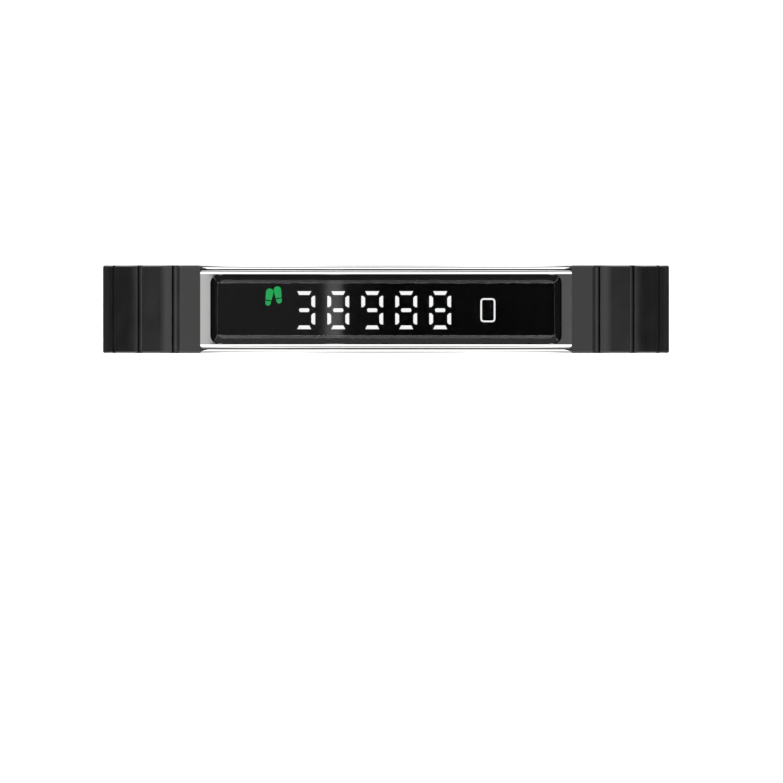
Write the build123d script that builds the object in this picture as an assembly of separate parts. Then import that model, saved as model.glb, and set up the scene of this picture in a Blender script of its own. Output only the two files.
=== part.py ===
"""Slim fitness tracker: a curved steel capsule with a bevelled crystal on a black link bracelet.

The bracelet is closed by a magnetic clasp and stands on it. Millimetres, +X along the
capsule, +Y across the band, +Z up through the crystal. The origin is on the surface that
the clasp stands on, under the middle of the capsule.
"""

import math
import os

from build123d import *

# ---- driving sizes: band -------------------------------------------------------------
band_width = 10.8
link_pitch = 6.5  # from pivot to pivot
link_thickness = 3.0
link_tilts = [50.5, 62.0, 80.0, 97.0, 114.0, 131.0, 148.0, 165.0]  # below the horizon
barrel_recess = 0.32  # hinge barrel below the link's outer face
tail_shoulder = 0.45  # from the trailing pivot back to the end of the full thickness
tail_radius = 0.38
lip_reach = 0.45  # from the leading pivot on to the outer lip
lip_slope_length = 1.8  # rounded stretch behind the lip
inner_shoulder = 0.5  # pivot to the link's end, on the skin side
knuckle_width = 4.2
knuckle_radius = 0.78
knuckle_arm_top = 0.15  # above the pivot line
pocket_opening = 15.0  # degrees above the pivot line that the knuckle's arm may swing to
skin_edge_radius = 0.22
side_edge_radius = 0.24
pin_radius = 0.45
pin_inset = 0.1  # below the side faces
pin_chamfer = 0.09
end_link_length = 3.85  # capsule end to first pivot
end_link_depth = 2.2  # below the pivot line, inside the capsule's end
end_link_root = 1.0  # stock behind the capsule's end, cut away to its upright face

# ---- driving sizes: clasp ------------------------------------------------------------
clasp_tongue_length = 3.0
clasp_tongue_width = 5.0
magnet_length = 1.6
magnet_height = 1.7
bar_magnet_width = 3.5
magnet_radius = 0.7
grip_grooves = 3
grip_groove_radius = 0.22
grip_groove_pitch = 0.95
grip_groove_start = 4.4  # from the clasp's middle

# ---- driving sizes: capsule ----------------------------------------------------------
capsule_half_length = 22.8  # level distance from the middle to the bezel's end
crown_radius = 41.6  # bezel's outer face, along the band
back_radius = 90.0  # skin side
capsule_thickness = 7.8  # bezel face to skin side, in the middle
case_edge_radius = 0.4
case_lower_radius = 1.0
case_lip_height = 0.45
case_wall = 0.49  # beside the groove round the bezel
groove_width = 0.14
bezel_thickness = 1.05
bezel_edge_radius = 0.3
bezel_side_rim = 0.54
bezel_end_rim = 1.4
bezel_inner_chamfer = 0.09
seal_thickness = 0.25
crystal_corner_radius = 1.0
crystal_edge_radius = 0.06
crystal_rise = 0.6  # above the bezel
crystal_edge_rise = 0.08  # of its rim above the bezel
crystal_side_bevel = 1.02
crystal_end_bevel = 0.7
crystal_seat_depth = 0.75  # ledge below the bezel's face
crystal_ledge = 0.8
adhesive_thickness = 0.1
cavity_wall = 1.2
end_block_length = 5.9  # from the capsule's end to the cavity
cover_wall = 0.7
cover_inset = 3.0  # from the capsule's end, as seen from above
cover_thickness = 0.85
cover_seal_thickness = 0.15
display_thickness = 0.55
lit_thickness = 0.06
board_thickness = 0.6
layer_gap = 0.2
solder_gap = 0.03
screw_radius = 0.5
screw_head_radius = 0.8
screw_length = 2.6
screw_slot_width = 0.25
screw_slot_depth = 0.17
screw_inset_y = 2.6  # from the band's side
window_radius = 3.0
window_rise = 0.5
window_rim_width = 1.1
window_rim_radius = 0.3
window_chamfer = 0.1
sensor_thickness = 0.45
sensor_gap = 0.15
detector_length = 4.4
detector_width = 2.0
light_length = 1.3
light_width = 1.0
contact_radius = 0.7
contact_rise = 0.05  # proud of the skin side
contact_depth = 0.4  # beyond the cover, towards the board
contact_spacing = 3.6
processor = (-1.9, 2.6, 3.0, 0.7)  # place along the board, length, width, height
radio = (2.0, 2.4, 2.4, 0.6)
accelerometer = (4.6, 1.6, 1.6, 0.6)
battery_thickness = 2.0
battery_edge_radius = 0.4
motor_radius = 3.4
motor_thickness = 1.9

# ---- driving sizes: what the display shows -------------------------------------------
digits = "38988"
digit_pitch = 4.13
first_digit_x = -9.94
digit_width = 2.65
digit_height = 4.66
stroke = 0.46
level_stroke_length = 1.7
middle_stroke_length = 1.29
upright_stroke_length = 1.38
upright_stroke_start = 0.37  # above and below the digit's middle
shown_y = -0.12
touch_mark_x = 12.37
touch_mark_width = 1.82
touch_mark_height = 2.94
touch_mark_line = 0.2
touch_mark_radius = 0.42
icon_x = -13.66
icon_y = 1.62
foot_length = 2.12
foot_spacing = 1.12
foot_step = 0.27  # one foot ahead of the other
sole_radius = 0.46
heel_radius = 0.32
heel_gap = 0.12
foot_turn = 9.0  # degrees inward

# ---- driving sizes: quick-release spring bars ----------------------------------------
tongue_length = 2.6
tongue_width = 6.0
tongue_top = 0.6  # below the pivot line
bar_depth = 1.45
bar_radius = 0.6
bar_tip_radius = 0.36
bar_setback = 1.45  # capsule end to the spring bar
knob_radius = 0.42
knob_drop = 1.5
release_travel = 1.0

# ---- clearances ----------------------------------------------------------------------
running_clearance = 0.05
hinge_gap = 0.12
seat_gap = 0.04
angle_gap = 0.15  # degrees, at the ends of the curved pieces
clasp_gap = 0.2
pocket_gap = 0.12
battery_gap = 2.1  # for the cell's swelling and its wires

# ---- what follows from them ----------------------------------------------------------
seal_width = band_width - 2 * case_wall
bezel_width = seal_width - 2 * groove_width
crystal_width = bezel_width - 2 * bezel_side_rim
crystal_half_length = capsule_half_length - bezel_end_rim
cavity_width = band_width - 2 * cavity_wall
cavity_half_length = capsule_half_length - end_block_length
cover_width = band_width - 2 * cover_wall
pivot_radius = crown_radius - link_thickness / 2
barrel_radius = link_thickness / 2 - barrel_recess
end_angle = math.degrees(math.asin(capsule_half_length / crown_radius))
cavity_half_angle = math.degrees(math.asin(cavity_half_length / crown_radius))
cover_half_angle = math.degrees(math.asin((capsule_half_length - cover_inset) / crown_radius))
screw_angle = (cavity_half_angle + cover_half_angle) / 2
contact_x = (cavity_half_length + window_radius) / 2
first_pivot_angle = end_angle + 2 * math.degrees(math.asin(end_link_length / 2 / pivot_radius))
end_link_tilt = (end_angle + first_pivot_angle) / 2
fall = link_pitch * sum(math.sin(math.radians(t)) for t in link_tilts)
# the last pivot stands half a link above the floor, which settles the crown's centre
crown_centre = link_thickness / 2 + fall - pivot_radius * math.cos(math.radians(first_pivot_angle))
back_centre = crown_centre + crown_radius - capsule_thickness - back_radius
overall_height = crown_centre + crown_radius + crystal_rise


def on_crown(angle, radius):
    """Point (x, z) at this angle from the vertical, about the crown's centre."""
    a = math.radians(angle)
    return radius * math.sin(a), crown_centre + radius * math.cos(a)


def pivots():
    """The right-hand hinge axes (x, z), from the end link down to the clasp."""
    found = [on_crown(first_pivot_angle, pivot_radius)]
    for tilt in link_tilts:
        x, z = found[-1]
        a = math.radians(tilt)
        found.append((x + link_pitch * math.cos(a), z - link_pitch * math.sin(a)))
    return found


hinge_axes = pivots()
clasp_half_length = hinge_axes[-1][0]


# ---- shapes used throughout ----------------------------------------------------------
def rod(x, z, radius, y_low, y_high):
    """Cylinder along Y."""
    middle = Pos(x, (y_low + y_high) / 2, z)
    return middle * Rot(90, 0, 0) * Cylinder(radius, y_high - y_low)


def slab(outline, width):
    """An outline in X and Z, drawn out to a width centred on Y."""
    return extrude(Plane.XZ * outline, amount=width / 2, both=True)


def block(x_low, x_high, width, z_low, z_high, y=0.0):
    """Box from its limits in X and Z, and its width about y."""
    middle = Pos((x_low + x_high) / 2, y, (z_low + z_high) / 2)
    return middle * Box(x_high - x_low, width, z_high - z_low)


def placed(shape, x, z, tilt):
    """A shape made along +X, carried to (x, z) and tilted down towards its far end."""
    return Pos(x, 0, z) * Rot(0, tilt, 0) * shape


def crown_band(inner, outer, half_angle, width):
    """Curved plate between two radii about the crown's centre."""
    reach = outer * 1.5
    a = math.radians(half_angle)
    corners = [
        (0, crown_centre),
        (reach * math.sin(a), crown_centre + reach * math.cos(a)),
        (-reach * math.sin(a), crown_centre + reach * math.cos(a)),
    ]
    wedge = slab(make_face(Polyline(*corners, close=True)), width)
    plate = rod(0, crown_centre, outer, -width / 2, width / 2)
    plate -= rod(0, crown_centre, inner, -width, width)
    return plate & wedge


def capsule_band(inner, outer, width):
    """Curved plate as long as the capsule, with upright ends."""
    plate = rod(0, crown_centre, outer, -width / 2, width / 2)
    plate -= rod(0, crown_centre, inner, -width, width)
    return plate & block(-capsule_half_length, capsule_half_length, width * 2, crown_centre, overall_height)


def below_back(offset, width):
    """Everything under the skin side's curve, raised by an offset."""
    return rod(0, back_centre, back_radius + offset, -width / 2, width / 2)


def window_prism(half_length, width, radius):
    """Upright prism with rounded corners, for openings seen from above."""
    tall = overall_height * 2
    return extrude(RectangleRounded(2 * half_length, width, radius), amount=tall)


def mirrored(shape):
    return mirror(shape, about=Plane.YZ)


# ---- bracelet ------------------------------------------------------------------------
def tail_outline(start, end, top, bottom_left):
    """Side view of a piece whose trailing pivot is at end, from a flat front face."""
    half = link_thickness / 2
    corners = [(start, top), (end - tail_shoulder, top), (end - inner_shoulder, -half), bottom_left]
    face = make_face(Polyline(*corners, close=True))
    return fillet(face.vertices().filter_by(lambda v: v.X > start + 1 and v.Y > 0), tail_radius)


def lead_outline(end, end_x_top):
    """Side view of a piece that starts behind the leading pivot at 0."""
    half = link_thickness / 2
    lip_height = math.sqrt((barrel_radius + hinge_gap) ** 2 - lip_reach**2)
    slope_end = lip_reach + lip_slope_length
    lip = (lip_reach, lip_height)
    slope = TangentArc((slope_end, half), lip, tangent=(-1, 0))
    rest = Polyline((slope_end, half), (end_x_top, half), (end, -half), (inner_shoulder, -half), lip)
    return make_face(slope + rest)


def link_outline():
    """Side view of a link's body, from the pivot at 0 to the one at the link pitch."""
    face = lead_outline(link_pitch - inner_shoulder, link_pitch - tail_shoulder)
    corner = face.vertices().filter_by(lambda v: v.X > link_pitch - 1 and v.Y > 0)
    face = fillet(corner, tail_radius)
    return fillet(face.vertices().filter_by(lambda v: v.Y < 0.01 - link_thickness / 2), skin_edge_radius)


def rounded_slab(outline, width):
    """A slab whose two side faces have rounded edges."""
    body = slab(outline, width)
    sides = body.faces().filter_by(Axis.Y)
    return fillet(sides.edges(), side_edge_radius)


def lead_hinge(body):
    """Hollows the front for the barrel ahead, and adds the hidden knuckle on its arm."""
    half = knuckle_width / 2
    body -= rod(0, 0, barrel_radius + hinge_gap, -band_width, band_width)
    arm_end = barrel_radius + 2 * hinge_gap
    body += block(0, arm_end, knuckle_width, -knuckle_radius, knuckle_arm_top)
    body += rod(0, 0, knuckle_radius, -half, half)
    return body - rod(0, 0, pin_radius + running_clearance, -band_width, band_width)


def trail_hinge(body, length):
    """Adds the barrel at the trailing pivot, with the pocket for the next knuckle."""
    half = knuckle_width / 2 + pocket_gap
    barrel_end = band_width / 2 - side_edge_radius / 2
    body += rod(length, 0, barrel_radius, -barrel_end, barrel_end)
    body -= rod(length, 0, knuckle_radius + hinge_gap / 2, -half, half)
    reach = link_thickness
    rise = reach * math.tan(math.radians(pocket_opening))
    back = length - knuckle_radius - hinge_gap / 2
    far = length + reach
    corners = [(back, 0), (length, 0), (far, rise), (far, -reach), (back, -reach)]
    body -= slab(make_face(Polyline(*corners, close=True)), 2 * half)
    return body - rod(length, 0, pin_radius, -band_width, band_width)


def link():
    """One link, from its leading pivot at 0 to its trailing pivot one pitch on."""
    body = rounded_slab(link_outline(), band_width)
    return trail_hinge(lead_hinge(body), link_pitch)


def hinge_pin():
    half = band_width / 2 - pin_inset
    pin = rod(0, 0, pin_radius, -half, half)
    return chamfer(pin.edges(), pin_chamfer)


def end_link_body():
    """Piece between the capsule and the first pivot, before it is cut to the capsule's end."""
    start = -end_link_root
    face = tail_outline(start, end_link_length, link_thickness / 2, (start, -end_link_depth))
    return trail_hinge(rounded_slab(face, band_width), end_link_length)


def end_tongue(gap):
    """Tongue that enters the case, flush with the skin side. A gap makes it the pocket."""
    reach = end_link_length
    width = tongue_width + 2 * gap
    return block(-tongue_length - gap, reach, width, -2 * reach, gap - tongue_top)


def capsule_end_frame(shape):
    """Carries a shape from the end link's own frame to the right-hand end of the capsule."""
    x, z = on_crown(end_angle, pivot_radius)
    return placed(shape, x, z, end_link_tilt)


def placed_end_link():
    face_x = capsule_half_length + seat_gap
    beyond = block(face_x, face_x + overall_height, band_width * 2, 0, overall_height)
    inside = block(0, face_x + seat_gap, band_width * 2, 0, overall_height)
    tongue = capsule_end_frame(end_tongue(0)) & inside
    tongue -= below_back(seat_gap, band_width * 2)
    shape = (capsule_end_frame(end_link_body()) & beyond) + tongue
    shape -= capsule_end_frame(rod(-bar_setback, -bar_depth, bar_radius, -band_width, band_width))
    return shape - capsule_end_frame(knob_slot(knob_radius + pocket_gap / 2))


knob_y = -tongue_width / 4 - release_travel / 2
bar_tip_length = tongue_width / 6


def knob_slot(radius):
    """Slot that the release knob slides along, open to the skin side."""
    reach = end_link_length * 2
    low, high = knob_y, knob_y + release_travel
    left, right = -bar_setback - radius, -bar_setback + radius
    slot = block(left, right, high - low, -reach, -bar_depth, (low + high) / 2)
    for y in (low, high):
        end = Cylinder(radius, reach - bar_depth)
        slot += Pos(-bar_setback, y, -(bar_depth + reach) / 2) * end
    return slot


def spring_bar():
    """Tube of the spring bar, with its fixed tip at +Y and the bore for the sliding pin."""
    half = tongue_width / 2 - seat_gap
    tip = half + bar_tip_length
    bar = rod(-bar_setback, -bar_depth, bar_radius, -half, half)
    bar += rod(-bar_setback, -bar_depth, bar_tip_radius, half, tip)
    bore_end = knob_y + knob_radius + 2 * release_travel
    bar -= rod(-bar_setback, -bar_depth, bar_tip_radius + running_clearance, -tip, bore_end)
    return bar - knob_slot(knob_radius + pocket_gap / 2)


def release_pin():
    """Sliding tip of the spring bar with its knob."""
    tip = tongue_width / 2 - seat_gap + bar_tip_length
    pin = rod(-bar_setback, -bar_depth, bar_tip_radius, -tip, knob_y + knob_radius)
    knob = Cylinder(knob_radius, knob_drop)
    return pin + Pos(-bar_setback, knob_y, -bar_depth - knob_drop / 2) * knob


def clasp_body():
    """Clasp half without its tongue or slot, from the last pivot to the middle."""
    length = clasp_half_length - clasp_gap / 2
    top = link_thickness / 2
    face = lead_outline(length, length)
    face = fillet(face.vertices().filter_by(lambda v: v.Y < 0 or v.X > length - 0.01), skin_edge_radius)
    body = rounded_slab(face, band_width)
    for n in range(grip_grooves):
        u = length - grip_groove_start - n * grip_groove_pitch
        body -= rod(u, top, grip_groove_radius, -band_width, band_width)
    return lead_hinge(body)


def bar_magnet(face_at, length):
    """Flat magnet whose exposed face lies at face_at, or the space for a longer one."""
    start = face_at - magnet_length
    return block(start, start + length, bar_magnet_width, -magnet_height / 2, magnet_height / 2)


def peg_magnets(face_at, length):
    """The two round magnets beside the tongue, or the spaces for longer ones."""
    y = (clasp_tongue_width + band_width) / 4
    start = face_at - magnet_length
    peg = Rot(0, 90, 0) * Cylinder(magnet_radius, length)
    return [Pos(start + length / 2, s * y, 0) * peg for s in (-1, 1)]


def with_magnets(body, bar_face, peg_face):
    """Cuts the magnets' spaces, open towards the other half, and returns the magnets."""
    open_length = magnet_length * 1.5
    for space in [bar_magnet(bar_face, open_length), *peg_magnets(peg_face, open_length)]:
        body -= space
    inset = seat_gap
    magnets = [bar_magnet(bar_face - inset, magnet_length - inset)]
    magnets += peg_magnets(peg_face - inset, magnet_length - inset)
    return body, Compound(children=[Pos(inset, 0, 0) * m for m in magnets])


def clasp_tongue_half():
    """Half with the tongue. Its magnets show at the tongue's tip and on the shoulders."""
    face = clasp_half_length - clasp_gap / 2
    tip = face + clasp_tongue_length
    top = link_thickness / 2
    tongue = block(face - magnet_length, tip, clasp_tongue_width, -top, top)
    tongue = fillet(tongue.edges().filter_by(Axis.Y).group_by(Axis.X)[-1], skin_edge_radius)
    return with_magnets(clasp_body() + tongue, tip, face)


def clasp_fork_half():
    """Half with the slot. Its magnets face the tongue half's across the gap."""
    face = clasp_half_length - clasp_gap / 2
    root = face - clasp_tongue_length
    slot = clasp_tongue_width + 2 * hinge_gap
    body = clasp_body() - block(root, face + 1, slot, -link_thickness, link_thickness)
    return with_magnets(body, root, face)


# ---- capsule -------------------------------------------------------------------------
def case_shell():
    """Steel middle of the capsule: walls, end blocks and the pockets for the end links."""
    top = crown_radius - bezel_thickness - seal_thickness
    shell = capsule_band(0.5, top + case_lip_height, band_width) - below_back(0, band_width * 2)
    shell = fillet(lengthwise_edges(shell)[-2:], case_edge_radius)
    shell = fillet(lengthwise_edges(shell)[:2], case_lower_radius)
    reach = 2 * capsule_half_length
    trough = block(-reach, reach, seal_width + 2 * seat_gap, 0, 2 * overall_height)
    shell -= trough & curved_layer(top, crown_radius)
    shell -= crown_band(0.5, crown_radius, cavity_half_angle, cavity_width)
    recess = crown_band(0.5, crown_radius, cover_half_angle, cover_width)
    shell -= recess & below_back(cover_thickness + cover_seal_thickness, band_width * 2)
    tip = tongue_width / 2 + bar_tip_length
    pocket = end_tongue(pocket_gap)
    pocket += rod(-bar_setback, -bar_depth, bar_tip_radius + running_clearance, -tip, tip)
    pocket = capsule_end_frame(pocket)
    shell -= pocket
    shell -= mirrored(pocket)
    for place in screw_places():
        shell -= place * Cylinder(screw_radius, 2 * (cover_thickness + screw_length))
    return shell


def lengthwise_edges(shape):
    """The edges that run along the capsule, from the lowest to the highest."""
    return shape.edges().filter_by(lambda e: e.length > capsule_half_length).sort_by(Axis.Z)


def bezel():
    """Polished ring that carries the crystal."""
    ring = capsule_band(crown_radius - bezel_thickness, crown_radius, bezel_width)
    ring = fillet(lengthwise_edges(ring)[-2:], bezel_edge_radius)
    opening = window_prism(
        crystal_half_length + seat_gap, crystal_width + 2 * seat_gap, crystal_corner_radius + seat_gap
    )
    ring -= opening & curved_layer(crown_radius - crystal_seat_depth, crown_radius)
    ring -= display_opening()
    inner_x = crystal_half_length + 2 * seat_gap
    inner_y = crystal_width / 2 + 2 * seat_gap
    rim = ring.edges().filter_by(lambda e: on_inner_rim(e, inner_x, inner_y))
    return chamfer(rim, bezel_inner_chamfer)


def on_inner_rim(edge, inner_x, inner_y):
    """Whether an edge is the upper edge of the opening that holds the crystal."""
    points = [edge @ 0, edge @ 0.5, edge @ 1]
    radii = [math.hypot(p.X, p.Z - crown_centre) for p in points]
    within = all(abs(p.X) < inner_x and abs(p.Y) < inner_y for p in points)
    return within and min(radii) > crown_radius - crystal_seat_depth / 2


def display_opening():
    """Opening inside the ledge that carries the crystal."""
    ledge = crystal_ledge
    return window_prism(crystal_half_length - ledge, crystal_width - 2 * ledge, crystal_corner_radius)


def bezel_seal():
    """Black ring between the bezel and the case."""
    low = crown_radius - bezel_thickness - seal_thickness
    ring = capsule_band(low, low + seal_thickness, seal_width)
    return ring - display_opening()


def crystal():
    """Curved crystal with a bevel on all four sides."""
    face = crown_radius + crystal_rise
    rim = crown_radius + crystal_edge_rise
    seat = crown_radius - crystal_seat_depth + adhesive_thickness
    glass = window_prism(crystal_half_length, crystal_width, crystal_corner_radius)
    glass &= curved_layer(seat, face - seat)
    half = crystal_width / 2
    drop = face - rim
    for side in (-1, 1):
        corners = [
            (side * (half - crystal_side_bevel), crown_centre + face),
            (side * (half + crystal_side_bevel), crown_centre + face - 2 * drop),
            (side * (half + crystal_side_bevel), crown_centre + face + drop),
            (side * (half - crystal_side_bevel), crown_centre + face + drop),
        ]
        wedge = Plane.YZ * make_face(Polyline(*corners, close=True))
        glass -= revolve(wedge, axis=Axis((0, 0, crown_centre), (0, 1, 0)))
    inner = crystal_half_length - crystal_end_bevel
    top_z = crown_centre + math.sqrt(face**2 - inner**2)
    rim_z = crown_centre + math.sqrt(rim**2 - crystal_half_length**2)
    slope = (rim_z - top_z) / crystal_end_bevel
    far = capsule_half_length
    high = overall_height + crystal_rise
    corners = [(inner, top_z), (far, top_z + slope * (far - inner)), (far, high), (inner, high)]
    end_bevel = slab(make_face(Polyline(*corners, close=True)), band_width * 2)
    glass = glass - end_bevel - mirrored(end_bevel)
    crown_edges = glass.edges().filter_by(lambda e: crystal_crown_edge(e, face))
    return fillet(crown_edges, crystal_edge_radius)


def crystal_crown_edge(edge, face):
    """Whether an edge bounds the crystal's curved top, inside its bevels."""
    points = [edge @ 0, edge @ 0.5, edge @ 1]
    return all(abs(math.hypot(p.X, p.Z - crown_centre) - face) < seat_gap / 4 for p in points)


def crystal_adhesive():
    seat = crown_radius - crystal_seat_depth
    ring = window_prism(crystal_half_length - seat_gap, crystal_width - 2 * seat_gap, crystal_corner_radius)
    return (ring - display_opening()) & curved_layer(seat, adhesive_thickness)


display_top = crown_radius - crystal_seat_depth
board_top = display_top - display_thickness - layer_gap
inside_width = cavity_width - 4 * seat_gap
inside_angle = cavity_half_angle - 2 * angle_gap


def display_panel():
    """Curved panel inside the bezel's opening, close under the crystal."""
    half_length = crystal_half_length - crystal_ledge - seat_gap
    width = crystal_width - 2 * (crystal_ledge + seat_gap)
    outline = window_prism(half_length, width, crystal_corner_radius)
    return outline & curved_layer(display_top - display_thickness, display_thickness)


def curved_layer(radius, thickness):
    """Thin full-width layer about the crown's centre."""
    outer = rod(0, crown_centre, radius + thickness, -band_width, band_width)
    return outer - rod(0, crown_centre, radius, -2 * band_width, 2 * band_width)


def digit_strokes():
    """The seven strokes of a digit about its middle, by their usual letters."""
    w, h = digit_width / 2, digit_height / 2
    cut = stroke / 2
    half = level_stroke_length / 2
    top = [(-half, h), (half, h), (half - cut, h - stroke), (cut - half, h - stroke)]
    low = upright_stroke_start
    high = low + upright_stroke_length
    side = [
        (w, high), (w, low), (w - cut, low), (w - stroke, low + cut),
        (w - stroke, high - cut), (w - cut, high),
    ]
    end = middle_stroke_length / 2
    middle = [
        (-end, 0), (cut / 2 - end, cut), (end - cut / 2, cut),
        (end, 0), (end - cut / 2, -cut), (cut / 2 - end, -cut),
    ]
    flat = {"a": top, "b": side, "g": middle}
    flat["c"] = [(x, -y) for x, y in side]
    flat["d"] = [(x, -y) for x, y in top]
    flat["f"] = [(-x, y) for x, y in side]
    flat["e"] = [(-x, -y) for x, y in side]
    return {name: make_face(Polyline(*corners, close=True)) for name, corners in flat.items()}


def raised(flat_shapes):
    """Flat shapes seen from above, made into a thin layer on the display."""
    layer = curved_layer(display_top, lit_thickness)
    return Compound(children=[
        extrude(shape, amount=2 * overall_height) & layer for shape in flat_shapes
    ])


def display_digits():
    """The lit digits and the touch outline."""
    strokes = digit_strokes()
    lit = {"3": "abcdg", "8": "abcdefg", "9": "abcdfg"}
    flat = []
    for n, digit in enumerate(digits):
        place = Pos(first_digit_x + n * digit_pitch, shown_y)
        flat += [place * strokes[name] for name in lit[digit]]
    outer = RectangleRounded(touch_mark_width, touch_mark_height, touch_mark_radius)
    line = 2 * touch_mark_line
    inner = RectangleRounded(
        touch_mark_width - line, touch_mark_height - line, touch_mark_radius - touch_mark_line
    )
    flat.append(Pos(touch_mark_x, shown_y) * (outer - inner))
    return raised(flat)


def step_icon():
    """Two footprints, each a sole and a heel."""
    sole_y = foot_length / 2 - sole_radius
    heel_y = heel_radius - foot_length / 2
    circles = Pos(0, sole_y) * Circle(sole_radius) + Pos(0, heel_y) * Circle(heel_radius)
    foot = make_hull(circles.edges())
    foot -= Pos(0, heel_y + heel_radius) * Rectangle(sole_radius * 3, heel_gap)
    flat = []
    for side in (-1, 1):
        x, y = icon_x + side * foot_spacing / 2, icon_y + side * foot_step / 2
        flat += (Pos(x, y) * Rot(0, 0, side * foot_turn) * foot).faces()
    return raised(flat)


def circuit_board():
    return crown_band(board_top - board_thickness, board_top, inside_angle, inside_width)


def under_board(x, length, width, height, gap):
    """Block that hangs under the board at x, square to it."""
    radius = board_top - board_thickness - gap
    angle = math.degrees(math.asin(x / radius))
    px, pz = on_crown(angle, radius)
    return placed(block(-length / 2, length / 2, width, -height, 0), px, pz, angle)


def board_chips():
    """Processor, radio and accelerometer packages on the board's skin side."""
    packages = (processor, radio, accelerometer)
    return Compound(children=[under_board(x, a, b, h, solder_gap) for x, a, b, h in packages])


def battery():
    outer = cavity_half_length - battery_gap
    inner = window_radius + window_rim_width
    width = cavity_width - battery_gap / 2
    sag = (outer - inner) ** 2 / (8 * board_top)
    cell = under_board(-(outer + inner) / 2, outer - inner, width, battery_thickness, layer_gap / 2 + sag)
    return fillet(cell.edges().filter_by(Axis.Y), battery_edge_radius)


def vibration_motor():
    sag = motor_radius**2 / (2 * board_top)
    radius = board_top - board_thickness - layer_gap / 2 - sag
    angle = math.degrees(math.asin(contact_x / radius))
    px, pz = on_crown(angle, radius)
    can = Pos(0, 0, -motor_thickness / 2) * Cylinder(motor_radius, motor_thickness)
    return placed(can, px, pz, angle)


def back_z(x, offset=0.0):
    """Height of the skin side's curve at x, raised by an offset."""
    return back_centre + math.sqrt((back_radius + offset) ** 2 - x**2)


def screw_places():
    """Screw axes, square to the skin side, at the four corners of the cover."""
    x = back_radius * math.sin(math.radians(screw_tilt()))
    y = band_width / 2 - screw_inset_y
    found = []
    for sx in (-1, 1):
        for sy in (-1, 1):
            found.append(Pos(sx * x, sy * y, back_z(x)) * Rot(0, sx * screw_tilt(), 0))
    return found


def screw_tilt():
    """Tilt of the skin side where the crown angle of the screws meets it."""
    x, _ = on_crown(screw_angle, back_z(0) - crown_centre + cover_thickness)
    return math.degrees(math.asin(x / back_radius))


def window_floor():
    return back_z(0) - window_rise


def back_cover():
    """Skin-side cover with the raised ring round the optical window."""
    inset = cover_half_angle - angle_gap
    plate = crown_band(0.5, crown_radius, inset, cover_width - 2 * seat_gap)
    plate &= below_back(cover_thickness, band_width * 2)
    plate -= below_back(0, band_width * 2)
    ring_radius = window_radius + window_rim_width
    ring = Pos(0, 0, window_floor() + window_rise) * Cylinder(ring_radius, 2 * window_rise)
    ring = fillet(ring.edges().group_by(Axis.Z)[0], window_rim_radius)
    plate += ring
    plate -= Pos(0, 0, back_z(0)) * Cylinder(window_radius + seat_gap, cover_thickness * 8)
    for place in screw_places():
        plate -= place * Cylinder(screw_radius + pocket_gap / 2, cover_thickness * 4)
        head_space = Cylinder(screw_head_radius + seat_gap, 2 * cover_thickness)
        plate -= place * Pos(0, 0, -cover_thickness / 2) * head_space
    for y in contact_ys():
        plate -= Pos(contact_x, y, back_z(contact_x)) * Cylinder(contact_radius, cover_thickness * 4)
    return plate


def contact_ys():
    return (-contact_spacing / 2, contact_spacing / 2)


def back_seal():
    inset = cover_half_angle - 2 * angle_gap
    low, high = cover_thickness, cover_thickness + cover_seal_thickness
    ring = crown_band(0.5, crown_radius, inset, cover_width - 4 * seat_gap)
    ring &= below_back(high, band_width * 2)
    ring -= below_back(low, band_width * 2)
    ring -= crown_band(0.5, crown_radius, cavity_half_angle, cavity_width)
    for place in screw_places():
        ring -= place * Cylinder(screw_radius + pocket_gap / 2, cover_thickness * 4)
    return ring


def back_screws():
    """Four slotted screws with flat heads, as one group."""
    head = cover_thickness / 2
    screws = []
    for place in screw_places():
        screw = Pos(0, 0, head / 2) * Cylinder(screw_head_radius, head)
        shank = screw_length - 2 * pocket_gap
        screw += Pos(0, 0, head + shank / 2) * Cylinder(screw_radius, shank)
        screw -= Box(screw_head_radius * 3, screw_slot_width, 2 * screw_slot_depth)
        screws.append(place * screw)
    return Compound(children=screws)


def sensor_window():
    """Clear disc over the optical sensor, flat on the skin side."""
    height = window_rise + cover_thickness
    disc = Pos(0, 0, window_floor() + height / 2) * Cylinder(window_radius, height)
    return chamfer(disc.edges().group_by(Axis.Z)[0], window_chamfer)


def optical_sensor():
    """Detector with a light source on either side, behind the window."""
    base = window_floor() + window_rise + cover_thickness + seat_gap
    thick = sensor_thickness
    parts = [Pos(0, 0, base + thick / 2) * Box(detector_length, detector_width, thick)]
    light_y = (detector_width + light_width) / 2 + sensor_gap
    for side in (-1, 1):
        parts.append(Pos(0, side * light_y, base + thick / 2) * Box(light_length, light_width, thick))
    return Compound(children=parts)


def charging_contacts():
    height = cover_thickness + contact_depth
    low = back_z(contact_x) - contact_rise
    pads = []
    for y in contact_ys():
        pads.append(Pos(contact_x, y, low + height / 2) * Cylinder(contact_radius, height))
    return Compound(children=pads)


# ---- assembly ------------------------------------------------------------------------
def bracelet_side(sign, side):
    """Links and pins of one half, by node name. The left half is the right one mirrored."""
    found = {}
    finish = mirrored if sign < 0 else (lambda shape: shape)
    one_link, one_pin = link(), hinge_pin()
    for n, (tilt, (x, z)) in enumerate(zip(link_tilts, hinge_axes), start=1):
        found[f"link_{side}_{n}"] = finish(placed(one_link, x, z, tilt))
    for n, (x, z) in enumerate(hinge_axes[1:], start=2):
        found[f"hinge_pin_{side}_{n}"] = Pos(sign * x, 0, z) * one_pin
    found[f"end_link_{side}"] = finish(placed_end_link())
    found[f"release_pin_{side}"] = finish(capsule_end_frame(release_pin()))
    x, z = hinge_axes[-1]
    half, magnets = clasp_tongue_half() if sign < 0 else clasp_fork_half()
    kind = "tongue" if sign < 0 else "fork"
    found[f"clasp_{kind}"] = finish(placed(half, x, z, 180))
    found[f"clasp_magnets_{side}"] = finish(placed(magnets, x, z, 180))
    return found


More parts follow.
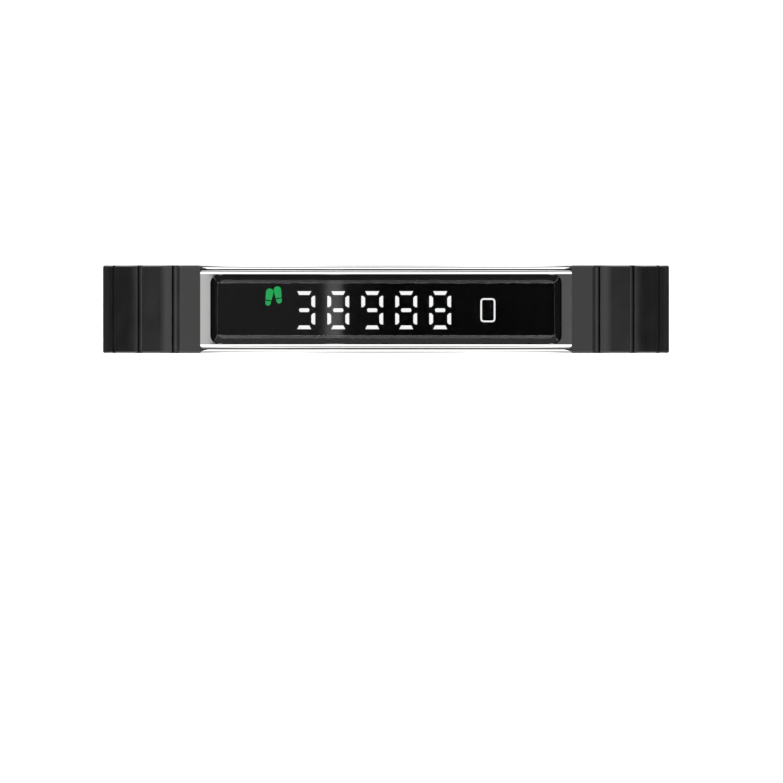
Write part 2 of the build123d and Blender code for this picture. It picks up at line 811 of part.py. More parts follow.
def both_ends(shape):
    """A shape and its mirror image, as one group."""
    return Compound(children=[shape, mirrored(shape)])


def whole_tracker():
    first_x, first_z = hinge_axes[0]
    nodes = {
        "case_shell": case_shell(),
        "bezel": bezel(),
        "bezel_seal": bezel_seal(),
        "crystal": crystal(),
        "crystal_adhesive": crystal_adhesive(),
        "display_panel": display_panel(),
        "display_digits": display_digits(),
        "step_icon": step_icon(),
        "circuit_board": circuit_board(),
        "board_chips": board_chips(),
        "battery": battery(),
        "vibration_motor": vibration_motor(),
        "back_cover": back_cover(),
        "back_seal": back_seal(),
        "back_screws": back_screws(),
        "sensor_window": sensor_window(),
        "optical_sensor": optical_sensor(),
        "charging_contacts": charging_contacts(),
        "spring_bars": both_ends(capsule_end_frame(spring_bar())),
        "end_link_pins": both_ends(Pos(first_x, 0, first_z) * hinge_pin()),
    }
    nodes.update(bracelet_side(1, "right"))
    nodes.update(bracelet_side(-1, "left"))
    return nodes


os.makedirs("parts", exist_ok=True)
for name, shape in whole_tracker().items():
    export_step(shape, f"parts/{name}.step")
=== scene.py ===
import math

import bmesh
import bpy
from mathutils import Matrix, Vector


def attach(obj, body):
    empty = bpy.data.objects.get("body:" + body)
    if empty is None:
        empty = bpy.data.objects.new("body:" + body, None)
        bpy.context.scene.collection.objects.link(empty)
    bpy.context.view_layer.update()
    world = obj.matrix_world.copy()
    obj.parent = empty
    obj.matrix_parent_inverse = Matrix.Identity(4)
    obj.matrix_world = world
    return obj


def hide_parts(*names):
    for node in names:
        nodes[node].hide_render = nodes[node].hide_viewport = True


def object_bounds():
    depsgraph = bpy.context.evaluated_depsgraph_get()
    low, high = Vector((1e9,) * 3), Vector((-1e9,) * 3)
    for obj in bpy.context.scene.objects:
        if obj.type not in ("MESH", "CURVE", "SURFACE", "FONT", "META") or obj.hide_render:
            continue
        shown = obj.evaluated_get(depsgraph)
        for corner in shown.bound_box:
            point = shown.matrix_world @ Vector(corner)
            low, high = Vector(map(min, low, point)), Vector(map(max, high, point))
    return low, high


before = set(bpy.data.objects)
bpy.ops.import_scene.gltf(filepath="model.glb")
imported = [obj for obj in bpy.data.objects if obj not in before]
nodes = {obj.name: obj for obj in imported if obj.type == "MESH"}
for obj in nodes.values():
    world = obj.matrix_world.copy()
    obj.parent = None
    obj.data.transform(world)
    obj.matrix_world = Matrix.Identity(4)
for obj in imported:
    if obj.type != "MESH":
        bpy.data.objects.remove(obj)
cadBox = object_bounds()
mm = 0.001
colourA, colourB, mixedColour = 6, 7, 2  # sockets of a Mix node that is set to colours
print("frame loaded:", len(nodes), "nodes")


def toLinear(hexColour):
    # sRGB hex to the linear values that shaders work in
    channels = [int(hexColour[i : i + 2], 16) / 255 for i in (1, 3, 5)]
    linear = [c / 12.92 if c <= 0.04045 else ((c + 0.055) / 1.055) ** 2.4 for c in channels]
    return (*linear, 1.0)


def addNode(tree, kind, settings=None, links=None):
    # settings are the node's own properties or its sockets' values, links go into its sockets
    node = tree.nodes.new(kind)
    for name, value in (settings or {}).items():
        if isinstance(name, str) and hasattr(node, name):
            setattr(node, name, value)
        else:
            node.inputs[name].default_value = value
    for name, source in (links or {}).items():
        tree.links.new(source, node.inputs[name])
    return node


def newMaterial(name, settings):
    # a Principled surface with its settings, ready for bump, colour and roughness links
    material = bpy.data.materials.new(name)
    material.use_nodes = True
    tree = material.node_tree
    tree.nodes.clear()
    surface = addNode(tree, "ShaderNodeBsdfPrincipled", settings)
    addNode(tree, "ShaderNodeOutputMaterial", links={"Surface": surface.outputs["BSDF"]})
    return material, tree, surface


def objectPoint(tree, stretch=(1, 1, 1)):
    # a place on the object in metres, stretched so that a pattern can run along one axis
    place = addNode(tree, "ShaderNodeTexCoord")
    return addNode(tree, "ShaderNodeMapping", {"Scale": stretch}, {"Vector": place.outputs["Object"]})


def perMetre(size):
    # noise scale for a pattern whose grains are this many millimetres across
    return 1 / (size * mm)


def noiseAt(tree, size, stretch=(1, 1, 1), detail=2.0):
    point = objectPoint(tree, stretch)
    settings = {"Scale": perMetre(size), "Detail": detail}
    return addNode(tree, "ShaderNodeTexNoise", settings, {"Vector": point.outputs["Vector"]})


def varied(tree, source, low, high):
    # turns a noise's middle range into values from low to high
    settings = {"From Min": 0.3, "From Max": 0.7, "To Min": low, "To Max": high}
    return addNode(tree, "ShaderNodeMapRange", settings, {"Value": source.outputs["Fac"]})


def addBump(tree, surface, source, height):
    # height is the relief in millimetres
    bump = addNode(tree, "ShaderNodeBump", {"Distance": height * mm}, {"Height": source.outputs["Fac"]})
    tree.links.new(bump.outputs["Normal"], surface.inputs["Normal"])


def blendColour(tree, surface, share, colour, other):
    # the surface's colour goes from one to the other as share goes from nought to one
    mix = addNode(tree, "ShaderNodeMix", {"data_type": "RGBA"}, {"Factor": share})
    mix.inputs[colourA].default_value = toLinear(colour)
    mix.inputs[colourB].default_value = toLinear(other)
    tree.links.new(mix.outputs[mixedColour], surface.inputs["Base Color"])


# capsule steel: 316L stainless, die-polished and buffed, so near a mirror with a faint haze
polishedSteel = {
    "colour": "#d3d2d1", "roughness": 0.07, "clearest": 0.75, "haziest": 1.5, "haze": 2.2,
    "lines": 0.05, "lineStretch": 0.04, "relief": 0.0004,
}


def makePolishedStainless():
    s = polishedSteel
    settings = {"Base Color": toLinear(s["colour"]), "Metallic": 1.0, "Roughness": s["roughness"]}
    material, tree, surface = newMaterial("polishedStainless", settings)
    haze = noiseAt(tree, s["haze"], detail=3.0)
    rough = varied(tree, haze, s["roughness"] * s["clearest"], s["roughness"] * s["haziest"])
    tree.links.new(rough.outputs["Result"], surface.inputs["Roughness"])
    # buffing lines run along the capsule
    lines = noiseAt(tree, s["lines"], stretch=(s["lineStretch"], 1, 1))
    addBump(tree, surface, lines, s["relief"])
    return material


# links: stainless blasted with fine beads, then ion-plated black: satin, dark and even
# the lighter edge colour stands partly for plating rubbed thin and partly for a painted highlight along the
# edges
blackPlating = {
    "colour": "#464646", "wornAndHighlight": "#77777a", "roughness": 0.34, "clearest": 0.92, "haziest": 1.1,
    "bead": 0.07, "beadDepth": 0.0015, "cloud": 3.0,
}
# from and to: how far the softened normal has left the true one, as one less their dot product
wornEdgesAndHighlight = {"width": 0.09, "samples": 6, "from": 0.02, "to": 0.30, "patch": 1.4, "least": 0.15, "most": 0.8}


def makeBlackPlatedSteel():
    s = blackPlating
    settings = {"Base Color": toLinear(s["colour"]), "Metallic": 1.0, "Roughness": s["roughness"]}
    material, tree, surface = newMaterial("blackPlatedSteel", settings)
    cloud = noiseAt(tree, s["cloud"], detail=3.0)
    rough = varied(tree, cloud, s["roughness"] * s["clearest"], s["roughness"] * s["haziest"])
    tree.links.new(rough.outputs["Result"], surface.inputs["Roughness"])
    addBump(tree, surface, noiseAt(tree, s["bead"]), s["beadDepth"])
    # edges are painted lighter: partly wear of the plating, partly a painted edge highlight
    blendColour(tree, surface, edgeWearAndHighlight(tree).outputs[0], s["colour"], s["wornAndHighlight"])
    return material


def edgeWearAndHighlight(tree):
    # one along edges and nought on faces, broken up by patches: the plating rubs thin there, and the lighter
    # edges are also a painted highlight
    w = wornEdgesAndHighlight
    soft = addNode(tree, "ShaderNodeBevel", {"samples": w["samples"], "Radius": w["width"] * mm})
    true = addNode(tree, "ShaderNodeNewGeometry")
    links = {0: soft.outputs["Normal"], 1: true.outputs["Normal"]}
    same = addNode(tree, "ShaderNodeVectorMath", {"operation": "DOT_PRODUCT"}, links)
    settings = {"From Min": 1 - w["from"], "From Max": 1 - w["to"]}
    edge = addNode(tree, "ShaderNodeMapRange", settings, {"Value": same.outputs["Value"]})
    patches = varied(tree, noiseAt(tree, w["patch"]), w["least"], w["most"])
    links = {0: edge.outputs["Result"], 1: patches.outputs["Result"]}
    return addNode(tree, "ShaderNodeMath", {"operation": "MULTIPLY"}, links)


# crystal: chemically hardened mineral glass, ground and polished
crystalGlass = {"colour": "#fcfdfd", "ior": 1.51, "roughness": 0.0}


def makeCrystalGlass():
    s = crystalGlass
    settings = {
        "Base Color": toLinear(s["colour"]),
        "Transmission Weight": 1.0,
        "IOR": s["ior"],
        "Roughness": s["roughness"],
    }
    return newMaterial("crystalGlass", settings)[0]


# grain and height of the faint relief that the smaller finishes have
faintRelief = {"gloss": (1.5, 0.002), "lit": (0.3, 0.001), "metalHeight": 0.001}


def makeGlossBlack(name, colour, roughness, shine=0.5):
    settings = {"Base Color": toLinear(colour), "Roughness": roughness, "IOR": 1.5, "Specular IOR Level": shine}
    material, tree, surface = newMaterial(name, settings)
    grain, height = faintRelief["gloss"]
    addBump(tree, surface, noiseAt(tree, grain), height)
    return material


def makeLit(name, colour, strength):
    settings = {
        "Base Color": toLinear("#101010"),
        "Roughness": 0.4,
        "Emission Color": toLinear(colour),
        "Emission Strength": strength,
    }
    material, tree, surface = newMaterial(name, settings)
    grain, height = faintRelief["lit"]
    addBump(tree, surface, noiseAt(tree, grain), height)
    return material


def makeMatte(name, colour, other, roughness, grain, relief):
    # moulded, printed or foil surfaces: two near colours in a fine grain, with a little relief
    settings = {"Base Color": toLinear(colour), "Roughness": roughness, "IOR": 1.5}
    material, tree, surface = newMaterial(name, settings)
    grains = noiseAt(tree, grain)
    blendColour(tree, surface, grains.outputs["Fac"], colour, other)
    addBump(tree, surface, grains, relief)
    return material


def makeMetal(name, colour, roughness, grain, stretch=(1, 1, 1)):
    settings = {"Base Color": toLinear(colour), "Metallic": 1.0, "Roughness": roughness}
    material, tree, surface = newMaterial(name, settings)
    grains = noiseAt(tree, grain, stretch)
    rough = varied(tree, grains, roughness * 0.85, roughness * 1.2)
    tree.links.new(rough.outputs["Result"], surface.inputs["Roughness"])
    addBump(tree, surface, grains, faintRelief["metalHeight"])
    return material


# each finish and the nodes that have it
finishes = {
    makePolishedStainless(): ["case_shell", "bezel"],
    makeBlackPlatedSteel(): ["link_", "end_link_left", "end_link_right", "clasp_tongue", "clasp_fork"],
    makeCrystalGlass(): ["crystal"],
    makeGlossBlack("panelBlack", "#050506", 0.12): ["display_panel"],
    makeGlossBlack("sealRubber", "#0a0a0a", 0.5): ["bezel_seal", "crystal_adhesive", "back_seal"],
    makeLit("litWhite", "#ffffff", 1.0): ["display_digits"],
    makeLit("litGreen", "#00a650", 1.0): ["step_icon"],
    makeMatte("solderMask", "#0d3a20", "#114a2a", 0.35, 0.4, 0.002): ["circuit_board"],
    makeMatte("epoxyPackage", "#151515", "#1c1c1c", 0.55, 0.1, 0.002): ["board_chips", "optical_sensor"],
    makeMatte("foilPouch", "#a5a5a8", "#b2b2b4", 0.4, 0.5, 0.006): ["battery"],
    makeMatte("mouldedCover", "#161617", "#1b1b1c", 0.45, 0.12, 0.004): ["back_cover"],
    makeGlossBlack("tintedWindow", "#0b0f0e", 0.05): ["sensor_window"],
    makeMetal("nickelPlate", "#b9b4aa", 0.25, 0.2): ["vibration_motor", "clasp_magnets_"],
    makeMetal("goldPlate", "#e0b868", 0.18, 0.1): ["charging_contacts"],
    makeMetal("turnedSteel", "#b4b4b5", 0.25, 0.08): ["back_screws", "spring_bars", "release_pin_"],
    makeMetal("drawnSteel", "#a8a8a9", 0.3, 0.08, (1, 0.1, 1)): ["hinge_pin_", "end_link_pins"],
}


def giveFinishes():
    for name, node in nodes.items():
        for material, owners in finishes.items():
            if any(name == owner or (owner.endswith("_") and name.startswith(owner)) for owner in owners):
                node.data.materials.clear()
                node.data.materials.append(material)
                break
        else:
            raise ValueError(f"{name} has no finish")


giveFinishes()
print("finishes given")

# the capsule's mirror-polished shells and its crystal are remade with even quads, so that
# reflections run clean along them: the CAD's sizes and curves in millimetres, with rims a little cambered
crown = {"radius": 41.6, "rise": 0.6, "back": 90.0, "halfLength": 22.8, "thick": 7.8, "stations": 84}
crown["centre"] = cadBox[1][2] / mm - crown["rise"] - crown["radius"]
crown["backCentre"] = crown["centre"] + crown["radius"] - crown["thick"] - crown["back"]
cornerAngles = [9 * n for n in range(11)]
meshing = {
    "weld": 0.0004, "edgeSteps": 8, "faceSteps": 6, "sharpSteel": 30, "sharpGlass": 15,
    "roundSteps": 3, "barSteps": 24,
}


def crownZ(x, radius):
    # height of a curve about the crown's centre
    return crown["centre"] + math.sqrt(radius**2 - x**2)


def backZ(x, rise):
    # height of the skin side's curve, raised towards the inside
    return crown["backCentre"] + math.sqrt((crown["back"] + rise) ** 2 - x**2)


def arc(middle, radius, start, end, count):
    # points on a circle, with angles in degrees
    angles = [math.radians(start + (end - start) * n / count) for n in range(count + 1)]
    return [(middle[0] + radius * math.cos(a), middle[1] + radius * math.sin(a)) for a in angles]


def evenly(low, high):
    # places along the capsule, always as many, so that rings of any length can be joined
    count = crown["stations"]
    return [low + (high - low) * n / count for n in range(count + 1)]


def halfRing(halfLength, halfWidth, start, angles=cornerAngles, square=False):
    # the +Y half of a frame's outline, from its +X end to its -X end; start is where corners begin
    startX, startY = start
    reachX, reachY = halfLength - startX, halfWidth - startY
    corner = []
    for degrees in angles:
        a = math.radians(degrees)
        if not square:
            corner.append((startX + reachX * math.cos(a), startY + reachY * math.sin(a)))
        elif degrees <= 45:
            corner.append((halfLength, startY + reachY * math.tan(a)))
        else:
            corner.append((startX + reachX / math.tan(a), halfWidth))
    sides = [(x, halfWidth) for x in reversed(evenly(-startX, startX)[1:-1])]
    return corner + sides + [(-x, y) for x, y in reversed(corner)]


def wholeRing(half, height):
    # both halves of an outline, lifted to its surface by height(x, y)
    flat = half + [(x, -y) for x, y in reversed(half)]
    return [(x, y, height(x, y)) for x, y in flat]


def joinRings(rings, closed):
    # quads between rings that follow each other
    count = len(rings[0])
    faces = []
    for n in range(len(rings) if closed else len(rings) - 1):
        a, b = n * count, (n + 1) % len(rings) * count
        for k in range(count):
            nextK = (k + 1) % count
            faces.append((a + k, a + nextK, b + nextK, b + k))
    return [point for ring in rings for point in ring], faces


def capRing(start, count):
    # quads across a whole ring, from one long side to the other
    last = start + count - 1
    return [(start + k, start + k + 1, last - k - 1, last - k) for k in range(count // 2 - 1)]


def meshFrom(name, points, faces):
    data = bpy.data.meshes.new(name)
    data.from_pydata([(x * mm, y * mm, z * mm) for x, y, z in points], [], faces)
    work = bmesh.new()
    work.from_mesh(data)
    bmesh.ops.remove_doubles(work, verts=work.verts, dist=meshing["weld"] * mm)
    bmesh.ops.dissolve_degenerate(work, edges=work.edges, dist=meshing["weld"] * mm)
    bmesh.ops.recalc_face_normals(work, faces=work.faces)
    work.to_mesh(data)
    work.free()
    piece = bpy.data.objects.new(name, data)
    bpy.context.scene.collection.objects.link(piece)
    return piece


def smoothShade(piece, sharpAngle):
    # smooth faces, with true edges where the surface turns by more than the angle
    work = bmesh.new()
    work.from_mesh(piece.data)
    for face in work.faces:
        face.smooth = True
    for edge in work.edges:
        edge.smooth = edge.is_manifold and edge.calc_face_angle() < math.radians(sharpAngle)
    work.to_mesh(piece.data)
    work.free()
    weigh = piece.modifiers.new("evenNormals", "WEIGHTED_NORMAL")
    weigh.keep_sharp = True


def roundEdges(piece, picks, width, segments):
    # softens the edges that picks(edge) chooses
    work = bmesh.new()
    work.from_mesh(piece.data)
    edges = [edge for edge in work.edges if edge.is_manifold and picks(edge)]
    bmesh.ops.bevel(work, geom=edges, offset=width * mm, segments=segments, profile=0.5, affect="EDGES")
    work.to_mesh(piece.data)
    work.free()


def standFor(piece, node, material):
    piece.data.materials.clear()
    piece.data.materials.append(material)
    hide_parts(node)
    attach(piece, "capsule")


def camber(side, top, innerY, shape):
    # half section of a buffed rim from its side face to its inner edge, as (y, level) points:
    # an arc turns from upright to edgeTilt, then a longer one flattens to innerTilt
    edge, tilt, last = shape["edge"], math.radians(shape["edgeTilt"]), math.radians(shape["innerTilt"])
    points = [(side, 0.0)]
    for n in range(1, meshing["edgeSteps"] + 1):
        a = math.pi / 2 + (tilt - math.pi / 2) * n / meshing["edgeSteps"]
        points.append((side - edge + edge * math.sin(a), edge * math.cos(a)))
    y, rise = points[-1]
    wide = (y - innerY) / (math.sin(tilt) - math.sin(last))
    for n in range(1, meshing["faceSteps"] + 1):
        a = tilt + (last - tilt) * n / meshing["faceSteps"]
        inward, up = math.sin(tilt) - math.sin(a), math.cos(a) - math.cos(tilt)
        points.append((y - wide * inward, rise + wide * up))
    highest = points[-1][1]
    return [(y, top - highest + rise) for y, rise in points]


# bezel: a turned and buffed ring with soft long edges and a fine inner chamfer
bezelRing = {
    "halfWidth": 4.77, "thick": 1.05, "edge": 0.2, "opening": (21.44, 4.27), "corner": 1.04,
    "edgeTilt": 30, "innerTilt": 9, "faceShares": (0.0, 0.33, 0.66, 1.0), "faceStep": 0.01,
    "chamfer": (0.13, 0.03), "chamferDrop": 0.105, "seat": 0.75, "ledge": (20.6, 3.43), "ledgeCorner": 1.0,
}


def makeBezel(material):
    b = bezelRing
    end, side, radius = crown["halfLength"], b["halfWidth"], crown["radius"]
    openX, openY = b["opening"]
    start = (openX - b["corner"], openY - b["corner"])
    ledgeX, ledgeY = b["ledge"]
    ledgeStart = (ledgeX - b["ledgeCorner"], ledgeY - b["ledgeCorner"])

    def on(level):
        return lambda x, y: crownZ(x, level)

    rings = [wholeRing(halfRing(end, side, start, square=True), on(radius - b["thick"]))]
    # a small round at the outer edge runs into a flatter camber, which ends at the chamfer
    chamferX, chamferY = b["chamfer"]
    profile = camber(side, radius, openY + chamferY, b)
    for y, level in profile[:-1]:
        rings.append(wholeRing(halfRing(end, y, start, square=True), on(level)))
    outer = halfRing(end, profile[-1][0] + b["faceStep"], start, square=True)
    inner = halfRing(openX + chamferX, openY + chamferY, start)
    for share in b["faceShares"]:
        between = [tuple(p + (q - p) * share for p, q in zip(*pair)) for pair in zip(outer, inner)]
        rings.append(wholeRing(between, on(radius)))
    opening = halfRing(openX, openY, start)
    rings.append(wholeRing(opening, on(radius - b["chamferDrop"])))
    rings.append(wholeRing(opening, on(radius - b["seat"])))
    ledge = halfRing(ledgeX, ledgeY, ledgeStart)
    rings.append(wholeRing(ledge, on(radius - b["seat"])))
    rings.append(wholeRing(ledge, on(radius - b["thick"])))
    piece = meshFrom("polishedBezel", *joinRings(rings, closed=True))
    smoothShade(piece, meshing["sharpSteel"])
    standFor(piece, "bezel", material)


# crystal: pressed to the crown's curve, then ground with a flat bevel on each side;
# it sits 0.02 above the CAD's adhesive, so that no two faces share a place
crystalShape = {
    "half": (21.4, 4.23), "corner": 1.0, "seat": 40.97, "face": 42.2, "rim": 41.68,
    "endBevel": 0.7, "sideBevel": 1.02, "edge": 0.05, "mitreAngle": 20, "wallSlope": 0.1,
    "clear": (20.56, 3.39),
}


def makeCrystal(material, border):
    c = crystalShape
    length, width = c["half"]
    start = (length - c["corner"], width - c["corner"])
    flatX, flatY = length - c["endBevel"], width - c["sideBevel"]
    flatZ, rimZ = crownZ(flatX, c["face"]), crownZ(length, c["rim"])

    def sideZ(x, y):
        return crownZ(x, c["face"] - (c["face"] - c["rim"]) * (abs(y) - flatY) / c["sideBevel"])

    def endZ(x, y):
        return flatZ + (rimZ - flatZ) * (abs(x) - flatX) / c["endBevel"]

    def mitreGap(degrees):
        a = math.radians(degrees)
        place = (start[0] + c["corner"] * math.cos(a), start[1] + c["corner"] * math.sin(a))
        return abs(sideZ(*place) - endZ(*place))

    # one corner point lies on the mitre, where the end's bevel meets the side's
    mitre = min((n / 10 for n in range(900)), key=mitreGap)
    angles = [mitre * n / 5 for n in range(5)] + [mitre + (90 - mitre) * n / 5 for n in range(6)]
    outline = halfRing(length, width, start, angles)
    flat = [(x if abs(x) < start[0] else math.copysign(flatX, x), flatY) for x, y in outline]
    rings = [
        wholeRing(outline, lambda x, y: crownZ(x, c["seat"])),
        wholeRing(outline, lambda x, y: min(sideZ(x, y), endZ(x, y))),
        wholeRing(flat, lambda x, y: crownZ(x, c["face"])),
    ]
    # the clear opening in the black border that is printed on the underside
    clear = [(x * c["clear"][0] / length, y * c["clear"][1] / width) for x, y in outline]
    rings.insert(0, wholeRing(clear, lambda x, y: crownZ(x, c["seat"])))
    points, faces = joinRings(rings, closed=False)
    count = len(rings[0])
    faces += capRing(0, count) + capRing(3 * count, count)
    piece = meshFrom("bevelledCrystal", points, faces)

    def boundsFlat(edge):
        upward = all(face.normal.z > 0.3 for face in edge.link_faces)
        return upward and edge.calc_face_angle() > math.radians(c["mitreAngle"])

    roundEdges(piece, boundsFlat, c["edge"], meshing["roundSteps"])
    smoothShade(piece, meshing["sharpGlass"])
    standFor(piece, "crystal", material)
    piece.data.materials.append(border)
    for face in piece.data.polygons:
        x, y = (face.center / mm).xy
        under = face.normal.z < -0.5 and max(abs(x) - c["clear"][0], abs(y) - c["clear"][1]) > 0
        if under or abs(face.normal.z) < c["wallSlope"]:
            face.material_index = 1


# case: forged steel, machined out for the works and the end links, then polished outside
caseShape = {
    "half": 5.4, "troughHalf": 4.95, "floor": 40.3, "lip": 0.45, "edge": 0.35, "lowerEdge": 1.0,
    "edgeTilt": 45, "innerTilt": 9,
    "cavityHalf": 4.2, "cavityAngle": 23.97, "recessHalf": 4.7, "recessAngle": 28.43, "recess": 1.0,
    "pocket": (2.72, 6.24, 0.48), "pocketOut": 6.0, "pocketDown": 8.0, "cavityBelow": -2.0,
    "barHole": 0.41, "barHoleLength": 8.0, "bar": (1.45, 1.45),
    "endAngle": 33.235, "endTilt": 35.987, "pivot": 40.1,
}


def sweepSection(name, section, places):
    # a section drawn in y and height(x), carried along the capsule and closed at both ends
    points = [(x, y, height(x)) for x in places for y, height in section]
    count = len(section)
    faces = []
    for n in range(len(places) - 1):
        for k in range(count):
            a, b = n * count + k, n * count + (k + 1) % count
            faces.append((a, b, b + count, a + count))
    faces.append(tuple(range(count)))
    faces.append(tuple(range(len(points) - count, len(points))))
    return meshFrom(name, points, faces)


def carve(piece, cutter):
    # takes one closed mesh out of another
    cut = piece.modifiers.new("cut", "BOOLEAN")
    cut.operation = "DIFFERENCE"
    cut.solver = "EXACT"
    cut.object = cutter
    result = bpy.data.meshes.new_from_object(piece.evaluated_get(bpy.context.evaluated_depsgraph_get()))
    piece.modifiers.clear()
    piece.data = result
    bpy.data.objects.remove(cutter)


def slantedSweep(name, halfWidth, angle, low, high):
    # between two planes through the crown's centre, from a low curve to a high one
    slope = math.tan(math.radians(angle))

    def endOf(height):
        x = crown["halfLength"]
        for _ in range(8):
            x = (height(x) - crown["centre"]) * slope
        return x

    ends = {height: endOf(height) for height in (low, high)}
    shares = evenly(-1, 1)
    corners = [(-halfWidth, low), (halfWidth, low), (halfWidth, high), (-halfWidth, high)]
    points = []
    for share in shares:
        for y, height in corners:
            x = share * ends[height]
            points.append((x, y, height(x)))
    faces = []
    for n in range(len(shares) - 1):
        for k in range(4):
            a, b = 4 * n + k, 4 * n + (k + 1) % 4
            faces.append((a, b, b + 4, a + 4))
    last = 4 * (len(shares) - 1)
    faces += [(0, 1, 2, 3), (last, last + 1, last + 2, last + 3)]
    return meshFrom(name, points, faces)


def endPocket(side):
    # room for the end link's tongue and the tips of its spring bar
    c = caseShape
    depth, width, top = c["pocket"]
    angle, tilt = math.radians(c["endAngle"]), math.radians(c["endTilt"])
    originX, originZ = c["pivot"] * math.sin(angle), crown["centre"] + c["pivot"] * math.cos(angle)

    def place(u, y, w):
        # u runs out along the end link, w up from its pivot line
        x = originX + u * math.cos(tilt) + w * math.sin(tilt)
        return (side * x, y, originZ - u * math.sin(tilt) + w * math.cos(tilt))

    out, down = c["pocketOut"], c["pocketDown"]
    corners = [(-depth, -top), (out, -top), (out, -down), (-depth, -down)]
    points = [place(u, y, w) for y in (-width / 2, width / 2) for u, w in corners]
    faces = [(0, 1, 2, 3), (7, 6, 5, 4)] + [(k, (k + 1) % 4, (k + 1) % 4 + 4, k + 4) for k in range(4)]
    block = meshFrom("pocketBlock", points, faces)
    setback, drop = c["bar"]
    circle = arc((-setback, -drop), c["barHole"], 0, 360, meshing["barSteps"])[:-1]
    reach = c["barHoleLength"] / 2
    points = [place(u, y, w) for y in (-reach, reach) for u, w in circle]
    count = len(circle)
    faces = [tuple(range(count)), tuple(range(2 * count - 1, count - 1, -1))]
    faces += [(k, (k + 1) % count, (k + 1) % count + count, k + count) for k in range(count)]
    return block, meshFrom("barHole", points, faces)


def makeCase(material):
    c = caseShape
    half, lower = c["half"], c["lowerEdge"]

    def crownAt(level):
        return lambda x: crownZ(x, level)

    def backAt(rise):
        return lambda x: backZ(x, rise)

    floor, lip = c["floor"], c["floor"] + c["lip"]
    right = [(c["troughHalf"], crownAt(floor))]
    right += [(y, crownAt(level)) for y, level in reversed(camber(half, lip, c["troughHalf"], c))]
    right += [(y, backAt(rise)) for y, rise in reversed(arc((half - lower, lower), lower, -90, 0, 12))]
    left = [(-y, height) for y, height in reversed(right)]
    ends = crown["halfLength"]
    piece = sweepSection("polishedCase", right + left, evenly(-ends, ends))
    cavityTop, below = crownAt(crown["radius"]), backAt(c["cavityBelow"])
    carve(piece, slantedSweep("cavity", c["cavityHalf"], c["cavityAngle"], below, cavityTop))
    carve(piece, slantedSweep("recess", c["recessHalf"], c["recessAngle"], below, backAt(c["recess"])))
    for side in (-1, 1):
        for cutter in endPocket(side):
            carve(piece, cutter)
    smoothShade(piece, meshing["sharpSteel"])
    standFor(piece, "case_shell", material)


makeBezel(bpy.data.materials["polishedStainless"])
# the border is seen through the glass and has next to no gloss of its own
printedBorder = makeGlossBlack("printedBorder", "#030303", 0.5, shine=0.05)
makeCrystal(bpy.data.materials["crystalGlass"], printedBorder)
makeCase(bpy.data.materials["polishedStainless"])
print("capsule shells remade")

# the stage: a white sweep under the bracelet
sweep = {"size": 1.2, "colour": "#f4f4f4", "glow": 0.75}


def makeFloor():
    half = sweep["size"] / 2
    data = bpy.data.meshes.new("floor")
    corners = [(-half, -half, 0), (half, -half, 0), (half, half, 0), (-half, half, 0)]
    data.from_pydata(corners, [], [(0, 1, 2, 3)])
    floor = bpy.data.objects.new("floor", data)
    bpy.context.scene.collection.objects.link(floor)
    settings = {
        "Base Color": toLinear(sweep["colour"]),
        "Roughness": 0.9,
        "Emission Color": toLinear("#ffffff"),
        "Emission Strength": sweep["glow"],
    }
    data.materials.append(newMaterial("paperSweep", settings)[0])
    # polished parts would otherwise mirror a floor that real studios keep dark
    floor.visible_glossy = False


# studio round the object, by angle from straight up towards +X, in degrees: brightness
studio = {
    -180: 0.05, -125: 0.05, -94: 0.06, -88: 1.20, -71: 1.30, -68: 0.75, -63: 0.70, -61: 0.085,
    -21.5: 0.085, -20: 0.55, -17.5: 0.75, -15.5: 0.55, -14: 0.045, -3: 0.024, 0: 0.0125,
    58: 0.016, 61: 0.13, 68: 0.13, 71: 1.30, 88: 1.20, 94: 0.06, 125: 0.05, 180: 0.05,
}
# softboxes along both sides, by angle from the upright plane towards +Y, in degrees
sideBoxes = {
    -90: 0.35, -78: 0.6, -68: 2.2, -60: 2.2, -57: 0.75, -43: 0.50, -41: 2.2, -18: 2.2,
    18: 2.2, 41: 2.2, 43: 0.16, 56: 0.16, 59: 2.2, 68: 2.2, 78: 0.6, 90: 0.35,
}
sideStart = {"from": 0.20, "to": 0.36}  # sine of that angle, where the sides take over


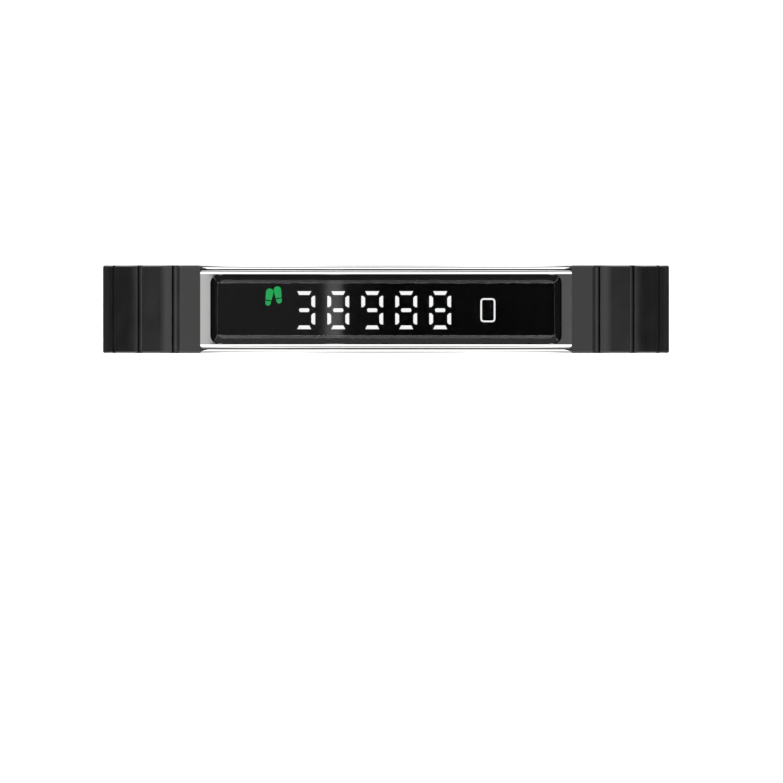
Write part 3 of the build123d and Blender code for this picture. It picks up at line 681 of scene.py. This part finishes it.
def addRamp(tree, levels, span, source):
    # a ramp over -span to span degrees, read from an angle in radians
    limit = math.radians(span)
    share = addNode(tree, "ShaderNodeMapRange", {"From Min": -limit, "From Max": limit}, {"Value": source})
    ramp = addNode(tree, "ShaderNodeValToRGB", links={"Fac": share.outputs["Result"]})
    stops = ramp.color_ramp.elements
    for number, (degrees, level) in enumerate(levels.items()):
        position = (degrees / span + 1) / 2
        stop = stops[number] if number < 2 else stops.new(position)
        stop.position = position
        stop.color = (level, level, level, 1.0)
    return ramp


def makeStudio():
    world = bpy.data.worlds.new("studio")
    bpy.context.scene.world = world
    world.use_nodes = True
    tree = world.node_tree
    tree.nodes.clear()
    way = addNode(tree, "ShaderNodeTexCoord")
    parts = addNode(tree, "ShaderNodeSeparateXYZ", links={"Vector": way.outputs["Generated"]})
    links = {0: parts.outputs["X"], 1: parts.outputs["Z"]}
    along = addNode(tree, "ShaderNodeMath", {"operation": "ARCTAN2"}, links)
    across = addNode(tree, "ShaderNodeMath", {"operation": "ARCSINE"}, {0: parts.outputs["Y"]})
    lengthways = addRamp(tree, studio, 180, along.outputs[0])
    sideways = addRamp(tree, sideBoxes, 90, across.outputs[0])
    lean = addNode(tree, "ShaderNodeMath", {"operation": "ABSOLUTE"}, {0: parts.outputs["Y"]})
    start, full = sideStart["from"], sideStart["to"]
    settings = {"From Min": start, "From Max": full, "interpolation_type": "SMOOTHSTEP"}
    side = addNode(tree, "ShaderNodeMapRange", settings, {"Value": lean.outputs[0]})
    links = {
        0: side.outputs["Result"],
        colourA: lengthways.outputs["Color"],
        colourB: sideways.outputs["Color"],
    }
    mix = addNode(tree, "ShaderNodeMix", {"data_type": "RGBA"}, links)
    light = addNode(tree, "ShaderNodeBackground", links={"Color": mix.outputs[mixedColour]})
    addNode(tree, "ShaderNodeOutputWorld", links={"Surface": light.outputs["Background"]})


# the camera looks straight down from above, with no perspective
cameraView = {"width": 0.0961, "x": 0.00067, "y": -0.0101, "height": 0.4}


def makeCamera():
    data = bpy.data.cameras.new("camera")
    data.type = "ORTHO"
    data.ortho_scale = cameraView["width"]
    camera = bpy.data.objects.new("camera", data)
    camera.location = (cameraView["x"], cameraView["y"], cameraView["height"])
    bpy.context.scene.collection.objects.link(camera)
    bpy.context.scene.camera = camera


makeFloor()
makeStudio()
makeCamera()
bpy.context.scene.view_settings.view_transform = "Standard"
print("studio and camera set")
